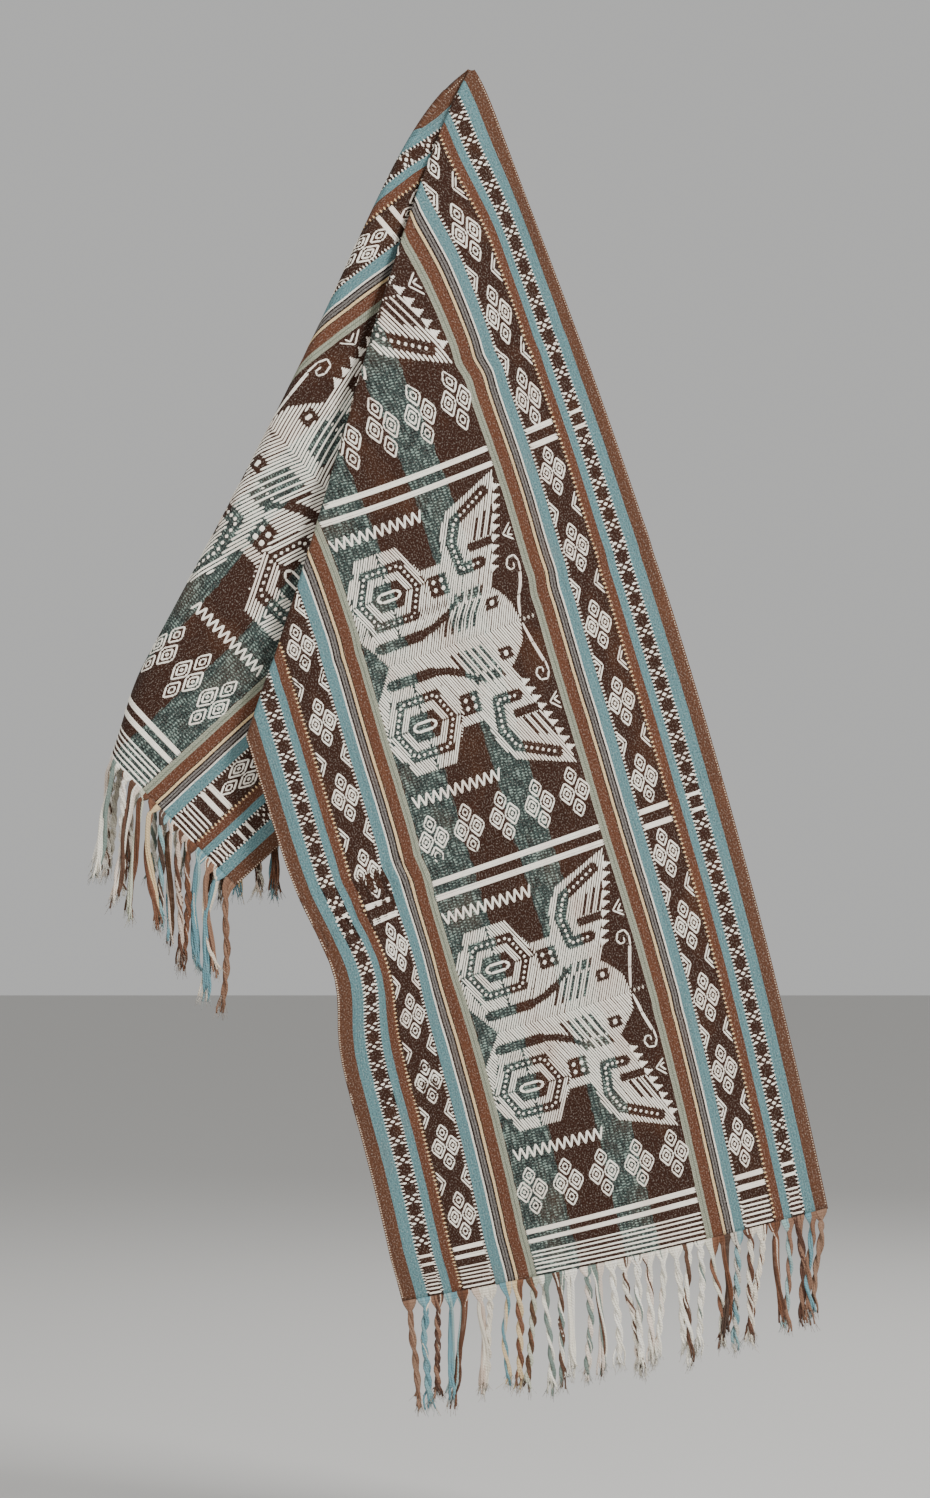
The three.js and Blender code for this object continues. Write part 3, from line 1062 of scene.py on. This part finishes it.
def yarn_colour(across):
    from_edge = min(across, cloth_width - across)
    colours = next(choice for far, choice in end_colours if from_edge < far)
    return hex_colour(colours[random.integers(len(colours))])


def tubes(name, yarns, sides, material):
    """Round yarns in one piece, from the centre line, radii and colour of each."""
    paths, radii, colours = (np.array(part) for part in zip(*yarns))
    count, steps, _ = paths.shape
    run = np.gradient(paths, axis=1)
    run /= np.linalg.norm(run, axis=-1, keepdims=True)
    aside = np.cross(run, [0.31, 0.95, 0.05])
    aside /= np.linalg.norm(aside, axis=-1, keepdims=True)
    other = np.cross(run, aside)
    angle = np.arange(sides) * full_turn / sides
    ring = aside[:, :, None] * np.cos(angle)[:, None] + other[:, :, None] * np.sin(angle)[:, None]
    points = paths[:, :, None] + ring * radii[:, :, None, None]
    index = np.arange(count * steps * sides).reshape(count, steps, sides)
    ahead = np.roll(index, -1, axis=2)
    wall = np.stack([index[:, :-1], ahead[:, :-1], ahead[:, 1:], index[:, 1:]], -1).reshape(-1, 4)
    length = np.cumsum(np.linalg.norm(np.diff(paths, axis=1, prepend=paths[:, :1]), axis=-1), axis=1)
    along = np.repeat(length[:, :, None], sides, axis=2)
    around = np.broadcast_to(angle, along.shape)
    flat = np.stack([along, around, 0 * along + np.arange(count)[:, None, None]], -1).reshape(-1, 3)
    faces = wall.tolist() + index[:, -1].tolist() + index[:, 0, ::-1].tolist()
    piece = make_piece(name, points.reshape(-1, 3), faces, flat)
    tint = piece.data.attributes.new("yarn_colour", "FLOAT_COLOR", "POINT")
    spread = np.repeat(colours, steps * sides, axis=0)
    tint.data.foreach_set("color", np.c_[spread, np.ones(len(spread))].astype(np.float32).ravel())
    piece.data.materials.append(material)
    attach(piece, "root")
    return piece


def fray(line, colour):
    """One fine hair that curls off the tip of a yarn."""
    share = np.linspace(0, 1, fray_stations)
    tip = line[-3] + (line[-1] - line[-3]) * share[:, None] * random.uniform(1.0, 1.9)
    curl = random.normal(0, 1.0, 2)
    tip = tip + np.stack([2.4 * curl[0] * share * share, 0.8 * curl[1] * share * share, 0 * share], -1)
    # Painted light: each hair's colour is mixed part way towards cream to lift the shade that falls on
    # the thin hairs.
    return tip, np.linspace(0.42, 0.16, fray_stations), lerp(colour, np.array(cream_thread), 0.35)


def roll_lean(end, across):
    """The short end's locks near the outer roll hang a little away from it."""
    near_roll = float(ease(across, 150, 260) * (1 - ease(across, 260, 380)))
    return -0.12 * near_roll if end < 0 else 0.0


def end_locks(name, end, fringe_length, material):
    way = 1 if end > 0 else -1

    def inside_edge(inset, across):
        return hang_flat(np.array(end - way * inset), np.array(across))

    share = np.linspace(0, 1, stations) ** 1.05
    yarns, hairs = [], []
    count = round(cloth_width / lock_pitch)
    for lock in range(count):
        middle = (lock + 0.5) * cloth_width / count + random.normal(0, 1.2)
        middle = float(np.clip(middle, 6, cloth_width - 6))
        spread = cloth_width / count * random.uniform(0.42, 0.54)
        root = inside_edge(1.0, middle)
        out = root - inside_edge(4.0, middle)
        out /= np.linalg.norm(out)
        length = fringe_length * random.uniform(0.92, 1.1)
        loose = random.random() < loose_share
        turn_pitch = ply_pitch * random.uniform(0.8, 1.5) * (loose_stretch if loose else 1)
        lean = (random.normal(0, 0.05) + roll_lean(end, middle), random.normal(0, 0.02))
        sway = (random.normal(0, 2.6), random.normal(0, 0.8))
        bend_length = random.uniform(22, 40)
        phase = random.uniform(0, full_turn)
        tight = random.uniform(1.4, 1.9)
        gathered = random.uniform(10, 24)
        plies = [yarn_colour(middle - 3), yarn_colour(middle + 3)]
        for yarn in range(yarns_per_lock):
            across = middle + spread * (2 * yarn / (yarns_per_lock - 1) - 1)
            across = float(np.clip(across, 1.2, cloth_width - 1.2))
            start = inside_edge(1.0, across)

            # The line turns down from the cloth's edge and sways with its lock.
            s = length * random.uniform(0.86, 1.0) * share
            forward = turn_down * (1 - np.exp(-s / turn_down))
            line = root + out * forward[:, None]
            line[:, 2] -= s - forward
            bend = np.sin(s / bend_length + phase)
            line[:, :2] += ease(s, 8, 60)[:, None] * (np.outer(s, lean) + np.outer(bend, sway))
            join = ease(s, 0, gathered)
            line += (start - root) * (1 - join)[:, None]

            # The yarns twist into two plies, and the plies into the lock.
            ply = 2 * yarn // yarns_per_lock
            swirl = phase + full_turn * s / turn_pitch + ply * math.pi
            open_end = ease(s, length * 0.74, length)
            wide = tight * (1 - 0.3 * open_end)
            inside = random.uniform(0, full_turn)
            inner_wide = random.uniform(0.5, 1.7)
            small = inside + full_turn * s / (turn_pitch * 1.7)
            line[:, 0] += join * (wide * np.cos(swirl) + inner_wide * np.cos(small))
            line[:, 1] += join * (wide * np.sin(swirl) + inner_wide * np.sin(small)) * 0.85

            # Loose yarns wander, and all splay and thin at the tip.
            if loose:
                wander = random.uniform(0.8, 2.8) * ease(s, gathered, length)
                line[:, 0] += wander * np.sin(s / random.uniform(9, 24) + inside)
            line[:, :2] += np.outer(open_end, random.normal(0, 1.0, 2) * (2.8, 0.9))
            base = plies[ply] if random.random() < 0.75 else yarn_colour(across)
            colour = np.array(base) * random.uniform(0.8, 1.04)
            radius = yarn_radius * random.uniform(0.85, 1.1) * (1 - 0.35 * open_end)
            yarns.append((line, radius, colour))
            hairs += [fray(line, colour) for _ in range(frays_per_yarn)]
    return [tubes(name, yarns, tube_sides, material),
            tubes(name + "_frays", hairs, fray_sides, material)]


def yarn_material():
    material, shader, place = new_material("fringe_cotton")
    along, around, _ = place.split()
    tint = place.node("ShaderNodeAttribute", {"attribute_name": "yarn_colour"})
    strand = (along * 2.1 + around * 2).math("SINE") * 0.5 + 0.5
    patch = noise(place, 0.12, 2.0)
    # Painted shade: the yarn's colour is darkened where the twist of its strands dips between them.
    shade = tint.dyed(hex_colour("4E4038"), (1 - strand) * 0.25)
    shade = shade.dyed(hex_colour("A89080"), patch.past(0.5) * 0.7)
    finish_material(shader, shade, 0.8 + strand * 0.1, strand, 0.3)
    return material


fringe_cotton = yarn_material()
long_fringe = end_locks("long_end_fringe", long_end, long_fringe_length, fringe_cotton)
short_fringe = end_locks("short_end_fringe", -short_end, short_fringe_length, fringe_cotton)
for fringe, node in ((long_fringe[0], "fringe_long_end"), (short_fringe[0], "fringe_short_end")):
    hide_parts(node)

# Floor and light: a plain pale floor below the cloth and three broad soft lamps, two in front and
# one behind, in an even pale room.
floor_drop = 0.16
floor_level = cad_box[0].z - floor_drop
floor_reach = 14.0
floor_mesh = bpy.data.meshes.new("floor")
corners = [(-1, -1), (1, -1), (1, 1), (-1, 1)]
floor_mesh.from_pydata([(x * floor_reach, y * floor_reach, floor_level) for x, y in corners],
                       [], [(0, 1, 2, 3)])
floor = bpy.data.objects.new("floor", floor_mesh)
bpy.context.scene.collection.objects.link(floor)
floor_material = bpy.data.materials.new("floor_paint")
floor_material.use_nodes = True
floor_shader = floor_material.node_tree.nodes["Principled BSDF"]
floor_shader.inputs["Base Color"].default_value = (0.56, 0.55, 0.53, 1)
floor_shader.inputs["Roughness"].default_value = 0.8
floor_mesh.materials.append(floor_material)

world = bpy.data.worlds.new("room")
world.use_nodes = True
world.node_tree.nodes["Background"].inputs["Color"].default_value = (0.93, 0.93, 0.92, 1)
world.node_tree.nodes["Background"].inputs["Strength"].default_value = 0.55
bpy.context.scene.world = world

middle_of_cloth = (0.0, 0.0, -0.7)


def add_lamp(name, place, width, watts):
    """A square lamp that points at the middle of the cloth."""
    data = bpy.data.lights.new(name, "AREA")
    data.size = width
    data.energy = watts
    lamp = bpy.data.objects.new(name, data)
    lamp.location = place
    direction = np.array(middle_of_cloth) - np.array(place)
    lamp.rotation_euler = (
        math.atan2(math.hypot(direction[0], direction[1]), -direction[2]),
        0,
        math.atan2(direction[1], direction[0]) - math.pi / 2,
    )
    bpy.context.scene.collection.objects.link(lamp)


add_lamp("key_lamp", (2.3, -2.6, 1.3), 1.1, 205)
add_lamp("fill_lamp", (-2.6, -2.8, 0.4), 2.0, 62)
add_lamp("back_lamp", (1.2, 3.0, 1.4), 2.0, 60)
